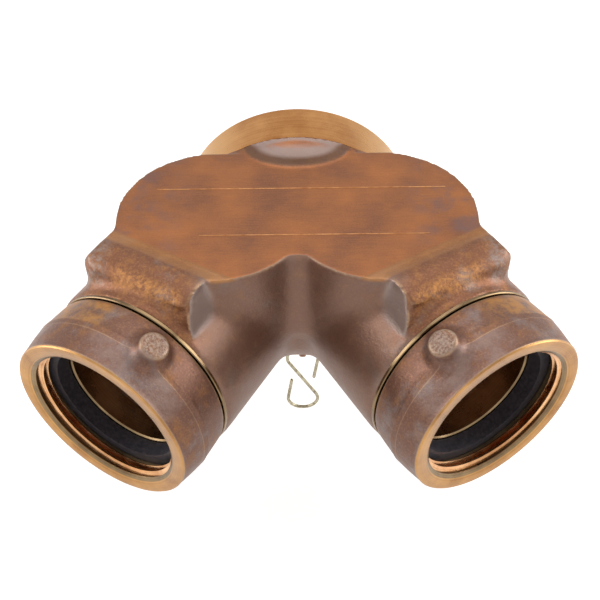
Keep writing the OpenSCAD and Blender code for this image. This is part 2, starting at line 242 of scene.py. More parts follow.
# removes what lies beyond the plane on the normal's side and closes the cut
def cutAway(piece, point, normal):
    inEditMode(piece)
    bpy.ops.mesh.bisect(plane_co=point, plane_no=normal, use_fill=True, clear_outer=True)
    bpy.ops.object.mode_set(mode="OBJECT")


casting = {"voxel": 1.0, "coarse": 1.3, "fillet": 4.5, "smoothing": 3, "hubCut": -24.9, "snoutCut": 33.9,
    "wallTest": 2.4, "leastIsland": 200, "faces": 185000}
# the corner between the barrels is blended by hand on the pattern: where the blend is full and where it
# ends, and the same for the plate's lip over it
webCorner = {"side": (30, 44), "front": (-82, -92), "top": (53, 48.5), "bottom": (-42, -30), "rounds": 200,
    "lipSide": (20, 34), "lipHeight": (38, 8), "lipFront": (-96, 5), "lipRounds": 26, "fillet": 10.0,
    "cut": (32, -84, 4)}
# the flap's pin: its line over the barrel, and the hole that its plug closes
hingePin = {"s": 53, "z": 43, "plugRadius": 6.05, "plugFrom": 28.5, "plugTo": 45, "pocketSide": 11.4,
    "gap": 0.12}
# round crest of the bar over each barrel, a little higher than the plate behind it
crest = {"s": 53.0, "z": 39.4, "radius": 17.1, "inner": -26.0, "outer": 33.0, "lean": 17,
    "endRadius": 42.0, "endMiddle": -3.0, "endHeight": 30.0, "foot": 51.0, "corner": (28.0, 42.0)}


# a line across the barrel, s along it and z above its axis
def lineAcross(side, s, z):
    return side @ Matrix.Translation((0, s * mm, z * mm)) @ Matrix.Rotation(math.radians(-90), 4, "Z")


def pinLine(side):
    return lineAcross(side, hingePin["s"], hingePin["z"])


def makeCrest(side):
    bar = plug(crest["radius"], crest["inner"] - 8, crest["outer"],
        lineAcross(side, crest["s"], crest["z"]))
    rounding = plug(crest["endRadius"], crest["s"] - 30, crest["s"] + 30,
        side @ Matrix.Translation((crest["endMiddle"] * mm, 0, crest["endHeight"] * mm)))
    applyModifier(bar, "BOOLEAN", operation="INTERSECT", object=rounding, solver="EXACT")
    bpy.data.objects.remove(rounding)
    lean = math.radians(crest["lean"])
    inwards = side.to_3x3() @ Vector((-math.cos(lean), 0, -math.sin(lean)))
    cutAway(bar, side @ (Vector((crest["inner"], 0, 55)) * mm), inwards)
    cutAway(bar, (0, 0, crest["foot"] * mm), (0, 0, -1))
    cutAway(bar, side @ (Vector((*crest["corner"], 0)) * mm), side.to_3x3() @ Vector((1, -1, 0)))
    return bar


# a copy grown by the fillet and shrunk again, which leaves its inside corners rounded
def fillCorners(piece, fillet):
    filled = copyOf(piece, "filled")
    steps = math.ceil(fillet / 5)
    applyModifier(filled, "REMESH", mode="VOXEL", voxel_size=casting["coarse"] * mm)
    for step in [fillet / steps] * steps + [-fillet / steps - 0.15 / steps] * steps:
        applyModifier(filled, "DISPLACE", strength=step * mm, mid_level=0)
        applyModifier(filled, "REMESH", mode="VOXEL", voxel_size=casting["coarse"] * mm)
    return filled


def softenCorner(piece):
    mesh = piece.data
    places = np.empty(len(mesh.vertices) * 3)
    mesh.vertices.foreach_get("co", places)
    x, y, z = places.reshape(-1, 3).T / mm
    share = np.ones(len(x))
    limits = [(abs(x), webCorner["side"]), (y, webCorner["front"][::-1]), (z, webCorner["top"][::-1]),
        (z, webCorner["bottom"][::-1])]
    for value, (full, none) in limits:
        share = share * np.clip((none - value) / (none - full), 0, 1)
    group = piece.vertex_groups.new(name="corner")
    for i in np.nonzero(share > 0)[0]:
        group.add([int(i)], float(share[i]), "REPLACE")
    applyModifier(piece, "SMOOTH", factor=0.5, iterations=webCorner["rounds"], vertex_group="corner")
    piece.vertex_groups.clear()
    full, none = webCorner["lipSide"]
    low, rise = webCorner["lipHeight"]
    front, depth = webCorner["lipFront"]
    share = np.clip((none - abs(x)) / (none - full), 0, 1) * np.clip((z - low) / rise, 0, 1)
    share = share * np.clip((front - y) / depth, 0, 1)
    group = piece.vertex_groups.new(name="lip")
    for i in np.nonzero(share > 0)[0]:
        group.add([int(i)], float(share[i]), "REPLACE")
    applyModifier(piece, "SMOOTH", factor=0.5, iterations=webCorner["lipRounds"], use_z=False,
        vertex_group="lip")
    piece.vertex_groups.clear()


# the casting's outside, with its openings stopped up and its inside corners filled on the pattern
def makeOutside():
    outside = copyOfNode("body", "castBody")
    stops = [plug(54.7, 2, -12, Matrix.Identity(4)), plug(33.5, 19.5, 30, rightInlet),
        plug(33.5, 19.5, 30, leftInlet)]
    stops += [plug(6.3, 28.5, 33.8, pinLine(side)) for side in (rightInlet, leftInlet)]
    stops += [makeCrest(rightInlet), makeCrest(leftInlet)]
    outside = joinAll([outside] + stops, "castBody")
    applyModifier(outside, "REMESH", mode="VOXEL", voxel_size=casting["voxel"] * mm)
    filled = fillCorners(outside, casting["fillet"])
    wider = fillCorners(outside, webCorner["fillet"])
    cutAway(wider, (webCorner["cut"][0] * mm, 0, 0), (1, 0, 0))
    cutAway(wider, (-webCorner["cut"][0] * mm, 0, 0), (-1, 0, 0))
    cutAway(wider, (0, webCorner["cut"][1] * mm, 0), (0, 1, 0))
    cutAway(wider, (0, 0, webCorner["cut"][2] * mm), (0, 0, -1))
    outside = joinAll([outside, filled, wider], "castBody")
    applyModifier(outside, "REMESH", mode="VOXEL", voxel_size=casting["voxel"] * mm)
    applyModifier(outside, "SMOOTH", factor=0.5, iterations=casting["smoothing"])
    softenCorner(outside)
    pinPlugs = []
    for side in (rightInlet, leftInlet):
        # each plug is filed flush, so it keeps the casting's own curve on its end
        pinPlug = plug(hingePin["plugRadius"] - hingePin["gap"], hingePin["plugFrom"], hingePin["plugTo"],
            pinLine(side))
        applyModifier(pinPlug, "BOOLEAN", operation="INTERSECT", object=outside, solver="EXACT")
        drill = plug(hingePin["plugRadius"], hingePin["plugFrom"], hingePin["plugTo"], pinLine(side))
        applyModifier(outside, "BOOLEAN", operation="DIFFERENCE", object=drill, solver="EXACT")
        bpy.data.objects.remove(drill)
        pinPlugs.append(pinPlug)
    return outside, pinPlugs


# the CAD walls of the waterways, as crisp as they are there
def makeInside(outside):
    inside = copyOfNode("body", "castInside")
    # the bore is sliced just past the cut at the hub, so that its wall has points there
    inEditMode(inside)
    bpy.ops.mesh.bisect(plane_co=(0, (casting["hubCut"] + 1.5) * mm, 0), plane_no=(0, 1, 0),
        use_fill=False, clear_outer=True)
    bpy.ops.object.mode_set(mode="OBJECT")
    shell = bmesh.new()
    shell.from_mesh(outside.data)
    skin = BVHTree.FromBMesh(shell)
    shell.free()
    deep = [skin.find_nearest(v.co)[3] > casting["wallTest"] * mm for v in inside.data.vertices]
    backRight, backLeft = rightInlet.inverted(), leftInlet.inverted()
    inEditMode(inside)
    bpy.ops.mesh.select_all(action="DESELECT")
    bpy.ops.mesh.select_mode(type="FACE")
    cut = bmesh.from_edit_mesh(inside.data)
    cut.faces.ensure_lookup_table()
    for face in cut.faces:
        middle = face.calc_center_median()
        outer = not all(deep[v.index] for v in face.verts)
        for back in (backRight, backLeft):
            p = back @ middle / mm
            offAxis = math.hypot(p.y - hingePin["s"], p.z - hingePin["z"])
            if offAxis < 6.5 and p.x > hingePin["pocketSide"] + 0.05:
                outer = True
        face.select = outer
    # scraps of the old outside lie buried under the fillets: only the waterways are kept
    left = {face for face in cut.faces if not face.select}
    while left:
        island, rim = [], [left.pop()]
        while rim:
            face = rim.pop()
            island.append(face)
            for other in (f for edge in face.edges for f in edge.link_faces):
                if other in left:
                    left.discard(other)
                    rim.append(other)
        if len(island) < casting["leastIsland"]:
            for face in island:
                face.select = True
    bmesh.update_edit_mesh(inside.data)
    bpy.ops.mesh.delete(type="FACE")
    bpy.ops.object.mode_set(mode="OBJECT")
    return inside


def makeCasting():
    outside, pinPlugs = makeOutside()
    inside = makeInside(outside)
    # only the rough outside is thinned, so the machined walls keep their edges
    corners = {piece: sum(len(p.vertices) - 2 for p in piece.data.polygons) for piece in (outside, inside)}
    ratio = (casting["faces"] - corners[inside]) / corners[outside]
    if ratio < 1:
        applyModifier(outside, "DECIMATE", ratio=ratio)
    body = joinAll([outside, inside], "castBody")
    cutAway(body, (0, casting["hubCut"] * mm, 0), (0, 1, 0))
    for side in (rightInlet, leftInlet):
        inwards = side.to_3x3() @ Vector((0, 1, 0))
        cutAway(body, side @ Vector((0, casting["snoutCut"] * mm, 0)), -inwards)
    inEditMode(body)
    bpy.ops.mesh.select_all(action="DESELECT")
    bpy.ops.mesh.select_mode(type="EDGE")
    bpy.ops.mesh.select_non_manifold(extend=False, use_wire=False, use_boundary=True, use_multi_face=False,
        use_non_contiguous=False, use_verts=False)
    bpy.ops.mesh.fill_holes(sides=0)
    bpy.ops.mesh.select_all(action="SELECT")
    bpy.ops.mesh.quads_convert_to_tris()
    bpy.ops.object.mode_set(mode="OBJECT")
    only(body)
    bpy.ops.object.shade_smooth_by_angle(angle=math.radians(50))
    return body, pinPlugs


castBody, (rightPinPlug, leftPinPlug) = makeCasting()
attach(castBody, "valve_body")
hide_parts("body")
for piece, node in ((rightPinPlug, "right_pin_plug"), (leftPinPlug, "left_pin_plug")):
    piece.name = node.split("_")[0] + "PinPlug"
    only(piece)
    bpy.ops.object.shade_smooth_by_angle(angle=math.radians(38))
    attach(piece, "valve_body")
    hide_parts(node)
print("casting:", len(castBody.data.polygons), "faces")


# points of a half-round groove, in the order of rising s
def roundGroove(middle, across, radius, outwards, count=9):
    points = []
    for i in range(count):
        a = math.pi * i / (count - 1)
        points.append((across + (1 if outwards else -1) * radius * math.sin(a),
            middle - radius * math.cos(a)))
    return points


# one ridge of a cut thread inside a bore, wound round the Y axis, with both ends closed
def threadRidge(name, radius, crest, pitch, start, turns, halfRoot, halfCrest, steps=96):
    mesh = bpy.data.meshes.new(name)
    section = [(radius, -halfRoot), (crest, -halfCrest), (crest, halfCrest), (radius, halfRoot)]
    mesh.from_pydata([(r * mm, (start + s) * mm, 0) for r, s in section],
        [(0, 1), (1, 2), (2, 3), (3, 0)], [])
    ridge = bpy.data.objects.new(name, mesh)
    bpy.context.scene.collection.objects.link(ridge)
    count = int(steps * turns)
    applyModifier(ridge, "SCREW", axis="Y", angle=2 * math.pi * turns, screw_offset=pitch * turns * mm,
        steps=count, render_steps=count, use_normal_calculate=True)
    inEditMode(ridge)
    bpy.ops.mesh.fill_holes(sides=0)
    bpy.ops.object.mode_set(mode="OBJECT")
    mergeAndTurnOut(ridge)
    return ridge


# two plain raised lines cast on the plate
guideLines = {"width": 0.7, "rise": 0.25, "sunk": 0.6, "top": 55.0,
    "rows": [(-69, 73, -57.0), (-46, 62, -91.0)]}


def makeGuideLines():
    bars = []
    for left, right, y in guideLines["rows"]:
        bpy.ops.object.select_all(action="DESELECT")
        bpy.ops.mesh.primitive_cube_add(size=1, location=(0, 0, 0))
        bar = bpy.context.object
        low, high = guideLines["top"] - guideLines["sunk"], guideLines["top"] + guideLines["rise"]
        bar.data.transform(Matrix.Translation(Vector(((left + right) / 2, y, (low + high) / 2)) * mm)
            @ Matrix.Diagonal(Vector((right - left, guideLines["width"], high - low, 1000)) * mm))
        applyModifier(bar, "BEVEL", width=0.3 * mm, segments=3, limit_method="ANGLE")
        bars.append(bar)
    return joinAll(bars, "guideLines")


raisedLines = makeGuideLines()
only(raisedLines)
bpy.ops.object.shade_smooth_by_angle(angle=math.radians(40))
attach(raisedLines, "valve_body")

hub = {"radius": 62.5, "length": 24.9, "chamfer": 0.6, "bore": 54.5, "mouth": 2.2, "root": 56.5,
    "threadEnd": 22, "pitch": 3.175, "turns": 6.1}


def makeHub():
    r, y, b = hub["radius"], hub["length"], hub["bore"]
    outline = [(b + hub["mouth"], 0), (r - hub["chamfer"], 0), (r, -hub["chamfer"]), (r, -y + 0.25),
        (r - 0.25, -y), (61.0, -y), (61.0, -y - 0.4), (b + 0.6, -y - 0.4), (b + 0.6, -y), (b, -y),
        (b, -hub["threadEnd"] - 1), (hub["root"], -hub["threadEnd"] + 0.6), (hub["root"], -0.3)]
    ring = lathe("outletHub", outline, 192)
    ridge = threadRidge("outletThread", hub["root"] + 0.1, b, hub["pitch"], -hub["threadEnd"] + 0.8,
        hub["turns"], 1.5, 0.25, 128)
    return ring, ridge


outletHub, outletThread = makeHub()

sleeve = {"radius": 38.4, "start": 20, "flangeStart": 32.3, "flangeEnd": 33.9, "flange": 48.0,
    "bore": 31.75, "lead": 0.7, "race": 26, "raceAcross": 38.44, "groove": 2.44}


def makeSleeve():
    k = sleeve
    outline = [(k["bore"] + k["lead"], k["start"]), (k["radius"] - 0.3, k["start"]),
        (k["radius"], k["start"] + 0.3)]
    outline += roundGroove(k["race"], k["raceAcross"], k["groove"], False)
    outline += [(k["radius"], k["flangeStart"]), (k["flange"] - 0.35, k["flangeStart"]),
        (k["flange"], k["flangeStart"] + 0.35), (k["flange"], k["flangeEnd"] - 0.1),
        (k["flange"] - 1.2, k["flangeEnd"] + 0.3), (k["bore"], k["flangeEnd"] + 0.3),
        (k["bore"], k["start"] + k["lead"])]
    return lathe("rightSnout", outline, 160)


rightSnout = makeSleeve()
leftSnout = copyOf(rightSnout, "leftSnout")

# outer radii of a swivel at these distances from its open face
swivel = {
    "outside": [(46.0, 0), (46.6, 0.6), (46.68, 1.5), (46.62, 1.8), (46.9, 3.2), (47.55, 7), (48.2, 11),
        (48.62, 14.5), (48.72, 15.9), (48.88, 16.5), (48.7, 17.1), (48.6, 19), (48.4, 23), (48.2, 27),
        (48.0, 30), (47.7, 31), (47.0, 31.6)],
    "mouth": 41.0, "mouthEnd": (38.3, 2.1), "root": 39.0, "crest": 36.9, "threadEnd": 11.2, "recess": 39.5,
    "recessEnd": 20, "bearing": 38.48, "pitch": 3.387, "threadStart": 3.4, "turns": 1.86,
    "lugBack": 18.6, "lugTurn": -27, "lugTop": 55.7,
    "lugOutline": [(0, 6.8), (4.6, 6.78), (5.6, 6.62), (6.3, 6.2), (6.75, 5.4), (7.1, 4.2), (7.55, 3.0),
        (8.3, 1.9), (9.5, 0.95), (11.0, 0.32), (12.6, -0.05), (13.4, -0.5), (13.4, -3.0), (0, -3.0)],
}


def ringRadius(s):
    radii, places = zip(*swivel["outside"])
    return float(np.interp(s, places, radii))


# a pin lug with its cast fillet, laid onto the ring's round outside
def makeLug(turn):
    lug = lathe("lug", swivel["lugOutline"], 64)
    top = max(h for r, h in swivel["lugOutline"])
    for v in lug.data.vertices:
        x, h, z = v.co / mm
        s = swivel["lugBack"] + z
        ground = math.sqrt(max(ringRadius(s) ** 2 - x * x, 1))
        rise = min(max(h / top, 0), 1)
        flat = rise * rise * (3 - 2 * rise)
        v.co = Vector((x, s, (ground + h) * (1 - flat) + (swivel["lugTop"] - top + h) * flat)) * mm
    lug.data.transform(Matrix.Rotation(math.radians(turn), 4, "Y"))
    mergeAndTurnOut(lug)
    return lug


def makeSwivel():
    k = swivel
    outline = [(k["mouth"], 0)] + k["outside"] + [(k["bearing"] + 0.3, 31.6), (k["bearing"], 31.3)]
    outline += list(reversed(roundGroove(sleeve["race"], sleeve["raceAcross"], sleeve["groove"], True)))
    outline += [(k["bearing"], k["recessEnd"]), (k["recess"], k["recessEnd"]),
        (k["recess"], k["threadEnd"]), (k["root"], k["threadEnd"] - 0.3),
        (k["root"], k["mouthEnd"][1] + 0.7), k["mouthEnd"]]
    ring = lathe("rightRing", outline, 192)
    for lug in (makeLug(k["lugTurn"]), makeLug(k["lugTurn"] + 180)):
        applyModifier(ring, "BOOLEAN", operation="UNION", object=lug, solver="EXACT")
        bpy.data.objects.remove(lug)
    drill = plug(3.02, 36, 60, Matrix.Translation((0, sleeve["race"] * mm, 0))
        @ Matrix.Rotation(math.radians(-90), 4, "X"))
    applyModifier(ring, "BOOLEAN", operation="DIFFERENCE", object=drill, solver="EXACT")
    bpy.data.objects.remove(drill)
    ridge = threadRidge("rightHoseThread", k["root"] + 0.1, k["crest"], k["pitch"], k["threadStart"],
        k["turns"], 1.5, 0.22)
    ridge.data.transform(Matrix.Rotation(math.radians(-90), 4, "Y"))
    return ring, ridge


rightRing, rightHoseThread = makeSwivel()
leftRing, leftHoseThread = copyOf(rightRing, "leftRing"), copyOf(rightHoseThread, "leftHoseThread")
# the left side is a mirror image, its thread isn't
intoPlace(leftHoseThread, Matrix.Scale(-1, 4, (1, 0, 0)))
for piece, side in ((rightSnout, rightInlet), (rightRing, rightInlet), (rightHoseThread, rightInlet),
    (leftSnout, leftInlet), (leftRing, leftInlet), (leftHoseThread, leftInlet)):
    intoPlace(piece, side)
for piece in (outletHub, outletThread, rightSnout, rightRing, rightHoseThread, leftSnout, leftRing,
    leftHoseThread):
    only(piece)
    bpy.ops.object.shade_smooth_by_angle(angle=math.radians(38))
for piece in (outletHub, outletThread, rightSnout, leftSnout):
    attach(piece, "valve_body")
for side, ring, thread in (("right", rightRing, rightHoseThread), ("left", leftRing, leftHoseThread)):
    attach(ring, side + "_swivel")
    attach(thread, side + "_swivel")
    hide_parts(side + "_swivel")
print("turned pieces made")


# how far each point stands out: above 0 on outer edges, below 0 in corners
# points of long faces stay at 0, because a long face would smear their mark
def markEdges(piece, longest, rounds=2):
    mesh = piece.data
    count = len(mesh.vertices)
    places, normals = np.empty(count * 3), np.empty(count * 3)
    mesh.vertices.foreach_get("co", places)
    mesh.vertices.foreach_get("normal", normals)
    places, normals = places.reshape(-1, 3), normals.reshape(-1, 3)
    ends = np.empty(len(mesh.edges) * 2, dtype=np.int64)
    mesh.edges.foreach_get("vertices", ends)
    first, second = ends.reshape(-1, 2).T
    step = places[second] - places[first]
    length = np.linalg.norm(step, axis=1) + 1e-9
    bend, links = np.zeros(count), np.zeros(count)
    np.add.at(bend, first, -np.einsum("ij,ij->i", step, normals[first]) / length)
    np.add.at(bend, second, np.einsum("ij,ij->i", step, normals[second]) / length)
    np.add.at(links, first, 1)
    np.add.at(links, second, 1)
    links = np.maximum(links, 1)
    bend /= links
    reach = np.zeros(count)
    np.maximum.at(reach, first, length)
    np.maximum.at(reach, second, length)
    bend[reach > longest] = 0
    for _ in range(rounds):
        around = np.zeros(count)
        np.add.at(around, first, bend[second])
        np.add.at(around, second, bend[first])
        bend = (bend + around / links) / 2
    marks = mesh.attributes.new("edge", "FLOAT", "POINT")
    marks.data.foreach_set("value", bend.astype(np.float32))


def newMaterial(name):
    material = bpy.data.materials.new(name)
    material.use_nodes = True
    tree = material.node_tree
    tree.nodes.clear()
    place = addNode(tree, "ShaderNodeTexCoord").outputs["Object"]
    inMm = addNode(tree, "ShaderNodeVectorMath", {0: place, "Scale": 1000.0}, operation="SCALE").outputs[0]
    return material, tree, inMm


def finishMaterial(tree, color, metallic, roughness, normal=None, **extra):
    inputs = {"Base Color": color, "Metallic": metallic, "Roughness": roughness}
    if normal is not None:
        inputs["Normal"] = normal
    inputs.update({key.replace("_", " "): value for key, value in extra.items()})
    surface = addNode(tree, "ShaderNodeBsdfPrincipled", inputs)
    addNode(tree, "ShaderNodeOutputMaterial", {"Surface": surface.outputs[0]})


# sand-cast red bronze, tumbled and then handled for years: brown oxide over pinkish metal, grey in places
# and worn to gold on the edges, which are lightened further as a painted highlight, with the corners
# darkened as painted shade; the sand's grain is drawn 0.9 mm wide so that it still shows
def castSkin(tree, inMm, look):
    patches = addNode(tree, "ShaderNodeTexNoise", {"Vector": inMm, "Scale": 1 / look["patch"],
        "Detail": 5.0, "Roughness": 0.6}, pick="Fac")
    mottle = addNode(tree, "ShaderNodeTexNoise", {"Vector": inMm, "Scale": 1 / look["mottle"],
        "Detail": 4.0, "Roughness": 0.65}, pick="Fac")
    grain = addNode(tree, "ShaderNodeTexNoise", {"Vector": inMm, "Scale": 1 / look["grain"], "Detail": 2.0,
        "Roughness": 0.6}, pick="Fac")
    greyShare = addNode(tree, "ShaderNodeMapRange",
        {"Value": patches, "From Min": look["greyFrom"], "From Max": look["greyFrom"] + 0.16},
        pick="Result", interpolation_type="SMOOTHSTEP")
    color = addNode(tree, "ShaderNodeMix", {0: greyShare, 6: linear(look["brown"]),
        7: linear(look["grey"])}, pick=2, data_type="RGBA")
    goldShare = addNode(tree, "ShaderNodeMapRange",
        {"Value": mottle, "From Min": look["goldFrom"], "From Max": look["goldFrom"] + 0.2,
        "To Max": look["goldMost"]}, pick="Result")
    color = addNode(tree, "ShaderNodeMix", {0: goldShare, 6: color, 7: linear(look["gold"])}, pick=2,
        data_type="RGBA")
    grainShare = addNode(tree, "ShaderNodeMapRange",
        {"Value": grain, "From Min": 0.52, "From Max": 0.72, "To Max": look["grainMost"]}, pick="Result")
    color = addNode(tree, "ShaderNodeMix", {0: grainShare, 6: color, 7: linear(look["metal"])}, pick=2,
        data_type="RGBA")
    pitShare = addNode(tree, "ShaderNodeMapRange",
        {"Value": grain, "From Min": 0.46, "From Max": 0.3, "To Max": look["grainMost"]}, pick="Result")
    color = addNode(tree, "ShaderNodeMix", {0: pitShare, 6: color, 7: linear(look["dark"])}, pick=2,
        data_type="RGBA")
    bend = addNode(tree, "ShaderNodeAttribute", pick="Fac", attribute_name="edge")
    # painted shade: corners and hollows are darkened towards the dark colour
    hollowShare = addNode(tree, "ShaderNodeMapRange",
        {"Value": bend, "From Min": -0.03, "From Max": -0.22, "To Max": 0.7}, pick="Result")
    color = addNode(tree, "ShaderNodeMix", {0: hollowShare, 6: color, 7: linear(look["dark"])}, pick=2,
        data_type="RGBA")
    # outer edges are lightened: partly real wear from handling, partly a painted highlight
    edgeShare = addNode(tree, "ShaderNodeMapRange",
        {"Value": bend, "From Min": 0.07, "From Max": 0.24, "To Max": 0.9}, pick="Result")
    color = addNode(tree, "ShaderNodeMix", {0: edgeShare, 6: color, 7: linear(look["rubbedAndHighlight"])}, pick=2,
        data_type="RGBA")
    rough = addNode(tree, "ShaderNodeMapRange", {"Value": mottle, "From Min": 0.3, "From Max": 0.7,
        "To Min": look["rough"] - 0.07, "To Max": look["rough"] + 0.09}, pick="Result")
    lumps = addNode(tree, "ShaderNodeMath", {0: mottle, 1: look["lumpHeight"]}, pick=0,
        operation="MULTIPLY")
    height = addNode(tree, "ShaderNodeMath", {0: grain, 1: look["grainHeight"], 2: lumps}, pick=0,
        operation="MULTIPLY_ADD")
    return color, rough, height, edgeShare


# a share that fades out beyond these limits, each of them a value, where it is 0 and where it is full
def within(tree, limits, share=1.0):
    for value, none, full in limits:
        step = addNode(tree, "ShaderNodeMapRange", {"Value": value, "From Min": none, "From Max": full},
            pick="Result", interpolation_type="SMOOTHSTEP")
        share = addNode(tree, "ShaderNodeMath", {0: step, 1: share}, pick=0, operation="MULTIPLY")
    return share


castLook = {
    "brown": "#7a4e35", "grey": "#7f6a61", "gold": "#a8733f", "metal": "#c08e60", "dark": "#47312a",
    "rubbedAndHighlight": "#dcb98f", "patch": 26.0, "mottle": 7.0, "grain": 0.9, "greyFrom": 0.52, "goldFrom": 0.5,
    "goldMost": 0.5, "grainMost": 0.25, "rough": 0.44, "grainHeight": 0.12, "lumpHeight": 0.35,
    "metallic": 0.6,
}
# the plate is belt-sanded from side to side after casting: fine streaks, orange-brown, low spots left grey
plateLook = {"low": "#6e4634", "high": "#ad6b39", "spot": "#6f5552", "top": 55.0,
    "streak": (9.0, 0.5, 3.0), "rough": 0.37}
# the bar's crest is worn to gold where the belt ran over it; its gold is partly a painted highlight
crestLook = {"color": "#a8723f", "from": 56.0, "to": 64.5, "rough": 0.34}
# bands across each bar: from and to along the barrel, lowest height, from and to sideways, share, colour
barBands = [(39.5, 46.0, 40.0, 52.0, 84.0, 0.6, "#c08546"),
    (20.0, 29.0, 24.0, 40.0, 90.0, 0.6, "#94837b"),
    (38.0, 60.0, 38.0, 88.0, 110.0, 0.65, "#8d8078")]
smoothLook = {"color": "#84695c", "rough": 0.42, "front": -98.0}
shoulderLook = {"color": "#94817a", "rough": 0.52, "foot": "#5f4434", "footTo": 58.6}
# smooth grey inner ends of the two bars
barEndLook = {"color": "#9a8880", "rough": 0.42, "from": 33.0}


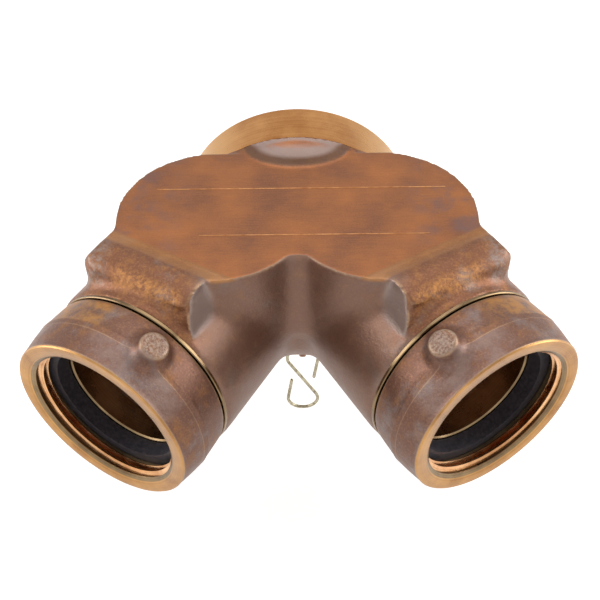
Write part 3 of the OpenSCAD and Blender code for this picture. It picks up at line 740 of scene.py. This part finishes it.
def makeBodyMaterial():
    material, tree, inMm = newMaterial("sand-cast bronze with a sanded plate")
    color, rough, height, edgeShare = castSkin(tree, inMm, castLook)
    apart = addNode(tree, "ShaderNodeSeparateXYZ", {0: inMm})
    x, y, z = apart.outputs
    across = addNode(tree, "ShaderNodeMath", {0: x}, pick=0, operation="ABSOLUTE")
    facing = addNode(tree, "ShaderNodeNewGeometry", pick="Normal")
    upward = addNode(tree, "ShaderNodeSeparateXYZ", {0: facing}, pick=2)
    # s runs along each barrel from its swivel's face
    reach = (-faceCentre.y * math.cos(inletAngle) + faceCentre.x * math.sin(inletAngle)) / mm
    alongX = addNode(tree, "ShaderNodeMath", {0: across, 1: -math.sin(inletAngle), 2: reach}, pick=0,
        operation="MULTIPLY_ADD")
    s = addNode(tree, "ShaderNodeMath", {0: y, 1: math.cos(inletAngle), 2: alongX}, pick=0,
        operation="MULTIPLY_ADD")
    # a gold band along the front of each bar, a painted highlight, and a grey one where the bar meets the
    # swivel
    for start, end, low, near, far, share, tint in barBands:
        fleck = addNode(tree, "ShaderNodeTexNoise",
            {"Vector": inMm, "Scale": 0.5, "Detail": 6.0, "Roughness": 0.75}, pick="Fac")
        fleck = addNode(tree, "ShaderNodeMapRange",
            {"Value": fleck, "From Min": 0.42, "From Max": 0.6, "To Max": share}, pick="Result")
        band = within(tree, [(s, start - 2.0, start + 2.0), (s, end + 2.0, end - 2.0),
            (z, low - 4.0, low + 4.0), (across, near - 3.0, near + 3.0), (across, far + 3.0, far - 3.0)],
            fleck)
        color = addNode(tree, "ShaderNodeMix", {0: band, 6: color, 7: linear(tint)}, pick=2,
            data_type="RGBA")
    # smooth grey skin between the barrels and on the bars' inner ends
    smoothShare = within(tree, [(across, 52.0, 40.0), (y, -92.0, smoothLook["front"])], 0.6)
    color = addNode(tree, "ShaderNodeMix", {0: smoothShare, 6: color, 7: linear(smoothLook["color"])},
        pick=2, data_type="RGBA")
    rough = addNode(tree, "ShaderNodeMix", {0: smoothShare, 2: rough, 3: smoothLook["rough"]}, pick=0)
    turn = addNode(tree, "ShaderNodeSeparateXYZ", {0: facing})
    side = addNode(tree, "ShaderNodeMath", {0: x}, pick=0, operation="SIGN")
    inwards = addNode(tree, "ShaderNodeMath", {0: turn.outputs[0], 1: side}, pick=0, operation="MULTIPLY")
    inwards = addNode(tree, "ShaderNodeMath", {0: inwards, 1: -math.cos(inletAngle)}, pick=0,
        operation="MULTIPLY")
    inwards = addNode(tree, "ShaderNodeMath", {0: turn.outputs[1], 1: -math.sin(inletAngle), 2: inwards},
        pick=0, operation="MULTIPLY_ADD")
    offEdgeMark = addNode(tree, "ShaderNodeMapRange",
        {"Value": edgeShare, "From Max": 0.9, "To Min": 0.85, "To Max": 0.0}, pick="Result")
    endShare = within(tree, [(inwards, 0.72, 0.86), (z, barEndLook["from"] - 3, barEndLook["from"] + 2),
        (across, 36.0, 41.0)], offEdgeMark)
    color = addNode(tree, "ShaderNodeMix", {0: endShare, 6: color, 7: linear(barEndLook["color"])}, pick=2,
        data_type="RGBA")
    rough = addNode(tree, "ShaderNodeMix", {0: endShare, 2: rough, 3: barEndLook["rough"]}, pick=0)
    # the cast shoulder between the plate and the hub: grey on its upper part, which faces up, partly its
    # cast skin and partly a painted reflection, and darker at its foot as painted shade where it turns to
    # face the front
    shoulderShare = within(tree, [(y, -58.0, -48.0), (z, 55.1, 56.0)], 0.85)
    foot = addNode(tree, "ShaderNodeMapRange", {"Value": z, "From Min": shoulderLook["footTo"] - 1.6,
        "From Max": shoulderLook["footTo"]}, pick="Result", interpolation_type="SMOOTHSTEP")
    shoulderColor = addNode(tree, "ShaderNodeMix",
        {0: foot, 6: linear(shoulderLook["foot"]), 7: linear(shoulderLook["color"])}, pick=2,
        data_type="RGBA")
    color = addNode(tree, "ShaderNodeMix", {0: shoulderShare, 6: color, 7: shoulderColor}, pick=2,
        data_type="RGBA")
    rough = addNode(tree, "ShaderNodeMix", {0: shoulderShare, 2: rough, 3: shoulderLook["rough"]}, pick=0)
    # the plate
    plateShare = within(tree, [(z, plateLook["top"] - 0.7, plateLook["top"] - 0.35),
        (upward, 0.93, 0.985), (s, crestLook["to"] - 2.0, crestLook["to"])])
    length, width, depth = plateLook["streak"]
    drawnOut = addNode(tree, "ShaderNodeMapping", {"Vector": inMm,
        "Scale": (1 / length, 1 / width, 1 / depth)}, pick=0)
    streaks = addNode(tree, "ShaderNodeTexNoise", {"Vector": drawnOut, "Scale": 1.0, "Detail": 4.0,
        "Roughness": 0.7}, pick="Fac")
    broad = addNode(tree, "ShaderNodeTexNoise", {"Vector": inMm, "Scale": 1 / 26.0, "Detail": 5.0,
        "Roughness": 0.55}, pick="Fac")
    tone = addNode(tree, "ShaderNodeMath", {0: streaks, 1: 0.4, 2: broad}, pick=0,
        operation="MULTIPLY_ADD")
    fine = addNode(tree, "ShaderNodeTexNoise", {"Vector": inMm, "Scale": 1.2, "Detail": 3.0,
        "Roughness": 0.7}, pick="Fac")
    tone = addNode(tree, "ShaderNodeMath", {0: fine, 1: 0.5, 2: tone}, pick=0, operation="MULTIPLY_ADD")
    tone = addNode(tree, "ShaderNodeMapRange", {"Value": tone, "From Min": 0.62, "From Max": 1.26},
        pick="Result")
    sanded = addNode(tree, "ShaderNodeMix", {0: tone, 6: linear(plateLook["low"]),
        7: linear(plateLook["high"])}, pick=2, data_type="RGBA")
    spots = addNode(tree, "ShaderNodeTexNoise", {"Vector": inMm, "Scale": 1 / 12.0, "Detail": 3.0,
        "Roughness": 0.55}, pick="Fac")
    lowSpots = within(tree, [(across, 45.0, 75.0), (spots, 0.44, 0.74)], 0.75)
    sanded = addNode(tree, "ShaderNodeMix", {0: lowSpots, 6: sanded, 7: linear(plateLook["spot"])}, pick=2,
        data_type="RGBA")
    color = addNode(tree, "ShaderNodeMix", {0: plateShare, 6: color, 7: sanded}, pick=2, data_type="RGBA")
    rough = addNode(tree, "ShaderNodeMix", {0: plateShare, 2: rough, 3: plateLook["rough"]}, pick=0)
    streakHeight = addNode(tree, "ShaderNodeMath", {0: streaks, 1: 0.06}, pick=0, operation="MULTIPLY")
    height = addNode(tree, "ShaderNodeMix", {0: plateShare, 2: height, 3: streakHeight}, pick=0)
    # the worn crest, its gold partly a painted highlight
    crestShare = within(tree, [(s, crestLook["from"], crestLook["from"] + 2.5),
        (s, crestLook["to"] + 0.5, crestLook["to"] - 1.5), (z, 53.0, 54.6)], tone)
    color = addNode(tree, "ShaderNodeMix", {0: crestShare, 6: color, 7: linear(crestLook["color"])},
        pick=2, data_type="RGBA")
    rough = addNode(tree, "ShaderNodeMix", {0: crestShare, 2: rough, 3: crestLook["rough"]}, pick=0)
    bump = addNode(tree, "ShaderNodeBump", {"Height": height, "Strength": 0.8, "Distance": 0.001}, pick=0)
    finishMaterial(tree, color, castLook["metallic"], rough, bump)
    return material


# red bronze turned on a lathe: the tool leaves fine rings, drawn 0.6 mm apart so that they show
def turnedSkin(tree, local, look):
    apart = addNode(tree, "ShaderNodeSeparateXYZ", {0: local})
    x, s, z = apart.outputs
    flatPlace = addNode(tree, "ShaderNodeCombineXYZ", {0: x, 2: z}, pick=0)
    radius = addNode(tree, "ShaderNodeVectorMath", {0: flatPlace}, pick="Value", operation="LENGTH")
    ringPlace = addNode(tree, "ShaderNodeCombineXYZ", {0: radius, 1: s}, pick=0)
    rings = addNode(tree, "ShaderNodeTexNoise", {"Vector": ringPlace, "Scale": 1 / look["ring"],
        "Detail": 3.0, "Roughness": 0.7}, pick="Fac")
    patches = addNode(tree, "ShaderNodeTexNoise", {"Vector": local, "Scale": 1 / look["patch"],
        "Detail": 4.0, "Roughness": 0.6}, pick="Fac")
    tone = addNode(tree, "ShaderNodeMath", {0: rings, 1: 0.8, 2: patches}, pick=0,
        operation="MULTIPLY_ADD")
    tone = addNode(tree, "ShaderNodeMapRange", {"Value": tone, "From Min": 0.65, "From Max": 1.15},
        pick="Result")
    color = addNode(tree, "ShaderNodeMix", {0: tone, 6: linear(look["low"]), 7: linear(look["high"])},
        pick=2, data_type="RGBA")
    rough = addNode(tree, "ShaderNodeMapRange", {"Value": patches, "From Min": 0.3, "From Max": 0.7,
        "To Min": look["rough"] - 0.05, "To Max": look["rough"] + 0.07}, pick="Result")
    height = addNode(tree, "ShaderNodeMath", {0: rings, 1: look["ringHeight"]}, pick=0,
        operation="MULTIPLY")
    return color, rough, height, radius, s


turnedLook = {"low": "#9a602e", "high": "#c8925a", "sides": "#dca96c", "ring": 0.6, "patch": 22.0,
    "rough": 0.26, "ringHeight": 0.05}
# the bores are turned bronze like the faces, given a darker brown-grey as painted shade inside them
shadedBoreLook = {"low": "#66523e", "high": "#98805e", "ring": 0.6, "patch": 14.0, "rough": 0.27,
    "ringHeight": 0.04}
faceLook = {"low": "#946941", "high": "#c6975f", "ring": 0.7, "patch": 16.0, "rough": 0.3,
    "ringHeight": 0.06}
threadLook = {"low": "#b47a4b", "high": "#eebd8c", "ring": 0.8, "patch": 10.0, "rough": 0.22,
    "ringHeight": 0.02}
swivelLook = dict(castLook, brown="#735041", grey="#7d6963", gold="#a06c3c", patch=16.0, mottle=9.0,
    greyFrom=0.5, goldFrom=0.5)


def makeTurnedMaterial(name, look, place, turn, metallic=1.0):
    material, tree, inMm = newMaterial(name)
    local = addNode(tree, "ShaderNodeMapping", {"Vector": inMm, "Location": tuple(Vector(place) / mm),
        "Rotation": (0, 0, turn)}, pick=0, vector_type="TEXTURE")
    color, rough, height, radius, s = turnedSkin(tree, local, look)
    if "sides" in look:
        # painted highlight: brighter on both sides than on top, for the side light falling on the round hub
        apart = addNode(tree, "ShaderNodeSeparateXYZ", {0: local}, pick=0)
        across = addNode(tree, "ShaderNodeMath", {0: apart}, pick=0, operation="ABSOLUTE")
        share = addNode(tree, "ShaderNodeMapRange",
            {"Value": across, "From Min": 22.0, "From Max": 48.0, "To Max": 0.75}, pick="Result",
            interpolation_type="SMOOTHSTEP")
        color = addNode(tree, "ShaderNodeMix", {0: share, 6: color, 7: linear(look["sides"])}, pick=2,
            data_type="RGBA")
    bump = addNode(tree, "ShaderNodeBump", {"Height": height, "Strength": 0.7, "Distance": 0.001}, pick=0)
    finishMaterial(tree, color, metallic, rough, bump)
    return material


# round the swivel: a grey sandy field before the lug, gold behind it as a painted reflection, and the
# mould's faint joint between
ringZones = {"lug": -27, "gold": 32, "joint": 13.6, "jointWidth": 0.35, "sandGrey": "#84736f",
    "goldReflection": "#b98448"}


def makeRingMaterial(name, place, turn, mirror):
    material, tree, inMm = newMaterial(name)
    local = addNode(tree, "ShaderNodeMapping", {"Vector": inMm, "Location": tuple(Vector(place) / mm),
        "Rotation": (0, 0, turn)}, pick=0, vector_type="TEXTURE")
    color, rough, height, edgeShare = castSkin(tree, local, swivelLook)
    faceColor, faceRough, faceHeight, radius, s = turnedSkin(tree, local, faceLook)
    # painted shade: the bore inside the face gets the darker bore colour
    boreColor = turnedSkin(tree, local, shadedBoreLook)[0]
    apart = addNode(tree, "ShaderNodeSeparateXYZ", {0: local})
    flatPlace = addNode(tree, "ShaderNodeCombineXYZ", {0: apart.outputs[0], 2: apart.outputs[2]}, pick=0)
    aim = addNode(tree, "ShaderNodeVectorMath", {0: flatPlace}, pick="Vector", operation="NORMALIZE")
    cloud = addNode(tree, "ShaderNodeTexNoise", {"Vector": local, "Scale": 1 / 9.0, "Detail": 7.0,
        "Roughness": 0.68}, pick="Fac")
    lugTop = addNode(tree, "ShaderNodeMapRange", {"Value": radius, "From Min": 54.6, "From Max": 55.4},
        pick="Result")
    lugShare = addNode(tree, "ShaderNodeTexNoise",
        {"Vector": local, "Scale": 0.9, "Detail": 3.0, "Roughness": 0.6}, pick="Fac")
    lugShare = addNode(tree, "ShaderNodeMapRange",
        {"Value": lugShare, "From Min": 0.38, "From Max": 0.62, "To Max": 0.85}, pick="Result")
    lugShare = addNode(tree, "ShaderNodeMath", {0: lugTop, 1: lugShare}, pick=0, operation="MULTIPLY")
    color = addNode(tree, "ShaderNodeMix", {0: lugShare, 6: color, 7: linear("#a18c7c")}, pick=2,
        data_type="RGBA")
    # the gold zone behind the lug is a painted reflection
    zones = [("lug", -4.0, ringZones["joint"], 0.8, ringZones["sandGrey"], 0.6),
        ("gold", ringZones["joint"] + 2, 30.0, 0.84, ringZones["goldReflection"], 0.75)]
    for zone, start, end, reachFrom, tint, most in zones:
        angle = math.radians(ringZones[zone])
        toward = addNode(tree, "ShaderNodeVectorMath",
            {0: aim, 1: (math.sin(angle) * mirror, 0, math.cos(angle))}, pick="Value",
            operation="DOT_PRODUCT")
        broken = addNode(tree, "ShaderNodeMapRange",
            {"Value": cloud, "From Min": 0.38, "From Max": 0.58, "To Max": most}, pick="Result")
        offEdgeMark = addNode(tree, "ShaderNodeMapRange",
            {"Value": edgeShare, "From Max": 0.9, "To Min": 1.0, "To Max": 0.0}, pick="Result")
        share = addNode(tree, "ShaderNodeMath", {0: broken, 1: offEdgeMark}, pick=0, operation="MULTIPLY")
        share = within(tree, [(toward, reachFrom, reachFrom + 0.3 * (1 - reachFrom) + 0.05),
            (s, start, start + 1.5), (s, end + 0.8, end - 0.8)], share)
        color = addNode(tree, "ShaderNodeMix", {0: share, 6: color, 7: linear(tint)}, pick=2,
            data_type="RGBA")
    off = addNode(tree, "ShaderNodeMath", {0: s, 1: ringZones["joint"]}, pick=0, operation="SUBTRACT")
    off = addNode(tree, "ShaderNodeMath", {0: off}, pick=0, operation="ABSOLUTE")
    joint = addNode(tree, "ShaderNodeMapRange", {"Value": off, "From Min": ringZones["jointWidth"],
        "From Max": 0.1, "To Max": 0.35}, pick="Result")
    joint = addNode(tree, "ShaderNodeMath", {0: joint, 1: cloud}, pick=0, operation="MULTIPLY")
    onRing = addNode(tree, "ShaderNodeMapRange", {"Value": radius, "From Min": 50.5, "From Max": 49.5},
        pick="Result")
    joint = addNode(tree, "ShaderNodeMath", {0: joint, 1: onRing}, pick=0, operation="MULTIPLY")
    color = addNode(tree, "ShaderNodeMix", {0: joint, 6: color, 7: linear(swivelLook["rubbedAndHighlight"])}, pick=2,
        data_type="RGBA")
    outside = addNode(tree, "ShaderNodeMapRange", {"Value": radius, "From Min": 45.7, "From Max": 46.1},
        pick="Result")
    backward = addNode(tree, "ShaderNodeMapRange", {"Value": s, "From Min": 0.5, "From Max": 0.9},
        pick="Result")
    castShare = addNode(tree, "ShaderNodeMath", {0: outside, 1: backward}, pick=0, operation="MULTIPLY")
    inward = addNode(tree, "ShaderNodeMapRange", {"Value": radius, "From Min": 40.2, "From Max": 39.9},
        pick="Result")
    machined = addNode(tree, "ShaderNodeMix", {0: inward, 6: faceColor, 7: boreColor}, pick=2,
        data_type="RGBA")
    color = addNode(tree, "ShaderNodeMix", {0: castShare, 6: machined, 7: color}, pick=2, data_type="RGBA")
    rough = addNode(tree, "ShaderNodeMix", {0: castShare, 2: faceRough, 3: rough}, pick=0)
    height = addNode(tree, "ShaderNodeMix", {0: castShare, 2: faceHeight, 3: height}, pick=0)
    metallic = addNode(tree, "ShaderNodeMapRange",
        {"Value": castShare, "To Min": 1.0, "To Max": swivelLook["metallic"]}, pick="Result")
    bump = addNode(tree, "ShaderNodeBump", {"Height": height, "Strength": 0.8, "Distance": 0.001}, pick=0)
    finishMaterial(tree, color, metallic, rough, bump)
    return material


def makeCastMaterial(name, look):
    material, tree, inMm = newMaterial(name)
    color, rough, height, edgeShare = castSkin(tree, inMm, look)
    bump = addNode(tree, "ShaderNodeBump", {"Height": height, "Strength": 0.8, "Distance": 0.001}, pick=0)
    finishMaterial(tree, color, look["metallic"], rough, bump)
    return material


# plain stuff with one fine mottle: moulded rubber, drawn steel wire, ground pins and balls
def makePlainMaterial(name, look):
    material, tree, inMm = newMaterial(name)
    mottle = addNode(tree, "ShaderNodeTexNoise", {"Vector": inMm, "Scale": 1 / look["mottle"],
        "Detail": 4.0, "Roughness": 0.6}, pick="Fac")
    tone = addNode(tree, "ShaderNodeMapRange", {"Value": mottle, "From Min": 0.35, "From Max": 0.65},
        pick="Result")
    color = addNode(tree, "ShaderNodeMix", {0: tone, 6: linear(look["low"]), 7: linear(look["high"])},
        pick=2, data_type="RGBA")
    rough = addNode(tree, "ShaderNodeMapRange", {"Value": mottle, "From Min": 0.3, "From Max": 0.7,
        "To Min": look["rough"] - 0.05, "To Max": look["rough"] + 0.06}, pick="Result")
    bump = addNode(tree, "ShaderNodeBump", {"Height": mottle, "Strength": look["bump"],
        "Distance": 0.0001}, pick=0)
    finishMaterial(tree, color, look["metallic"], rough, bump)
    return material


rubberLook = {"low": "#22222a", "high": "#413e45", "mottle": 1.6, "rough": 0.5, "bump": 0.4,
    "metallic": 0.0}
steelLook = {"low": "#b9b9bb", "high": "#dcdcdd", "mottle": 3.0, "rough": 0.16, "bump": 0.1,
    "metallic": 1.0}
wireLook = {"low": "#877f69", "high": "#c4bca3", "mottle": 2.0, "rough": 0.24, "bump": 0.2,
    "metallic": 1.0}
brassLook = {"low": "#b08d4f", "high": "#dcbc7c", "mottle": 4.0, "rough": 0.25, "bump": 0.2,
    "metallic": 1.0}
lineLook = {"low": "#9a6238", "high": "#c08a5a", "mottle": 5.0, "rough": 0.34, "bump": 0.2,
    "metallic": 0.8}
clapperLook = dict(castLook, brown="#7d5a40", grey="#877163", gold="#ab7f4e", patch=20.0)

rightAxis = (tuple(faceCentre), inletAngle)
leftAxis = ((-faceCentre.x, faceCentre.y, faceCentre.z), -inletAngle)
hubAxis = ((0, 0, 0), 0)
materials = {
    "body": makeBodyMaterial(),
    "line": makePlainMaterial("rubbed bronze, raised lines", lineLook),
    "hub": makeTurnedMaterial("turned bronze, hub", turnedLook, *hubAxis),
    "rightSnout": makeTurnedMaterial("turned bronze, right snout", shadedBoreLook, *rightAxis),
    "leftSnout": makeTurnedMaterial("turned bronze, left snout", shadedBoreLook, *leftAxis),
    "rightRing": makeRingMaterial("cast and turned bronze, right swivel", *rightAxis, 1),
    "leftRing": makeRingMaterial("cast and turned bronze, left swivel", *leftAxis, -1),
    "rightThread": makeTurnedMaterial("cut thread, right swivel", threadLook, *rightAxis),
    "leftThread": makeTurnedMaterial("cut thread, left swivel", threadLook, *leftAxis),
    "clapper": makeCastMaterial("cast bronze, flap", clapperLook),
    "plug": makeCastMaterial("turned bronze plug, filed flush", dict(castLook, greyFrom=0.7)),
    "rubber": makePlainMaterial("moulded black rubber", rubberLook),
    "steel": makePlainMaterial("ground stainless steel", steelLook),
    "wire": makePlainMaterial("zinc-plated wire, yellowed", wireLook),
    "brass": makePlainMaterial("turned brass", brassLook),
}


def paint(piece, material):
    piece.data.materials.clear()
    piece.data.materials.append(material)


for piece, longest in ((castBody, 3.5 * mm), (rightRing, 30 * mm), (leftRing, 30 * mm)):
    markEdges(piece, longest)
for piece, key in ((castBody, "body"), (raisedLines, "line"), (outletHub, "hub"), (outletThread, "hub"),
    (rightSnout, "rightSnout"), (leftSnout, "leftSnout"), (rightRing, "rightRing"),
    (rightHoseThread, "rightThread"), (leftRing, "leftRing"), (leftHoseThread, "leftThread"),
    (rightPinPlug, "plug"), (leftPinPlug, "plug")):
    paint(piece, materials[key])
nodeMaterials = {"gasket": "rubber", "balls": "steel", "ball_plug": "plug", "clapper": "clapper",
    "facing": "rubber", "retainer": "brass", "screw": "brass", "hinge_pin": "steel"}
for side in ("left", "right"):
    for node, key in nodeMaterials.items():
        paint(frame["nodes"][side + "_" + node], materials[key])
paint(frame["nodes"]["s_hook"], materials["wire"])
print("materials ready")
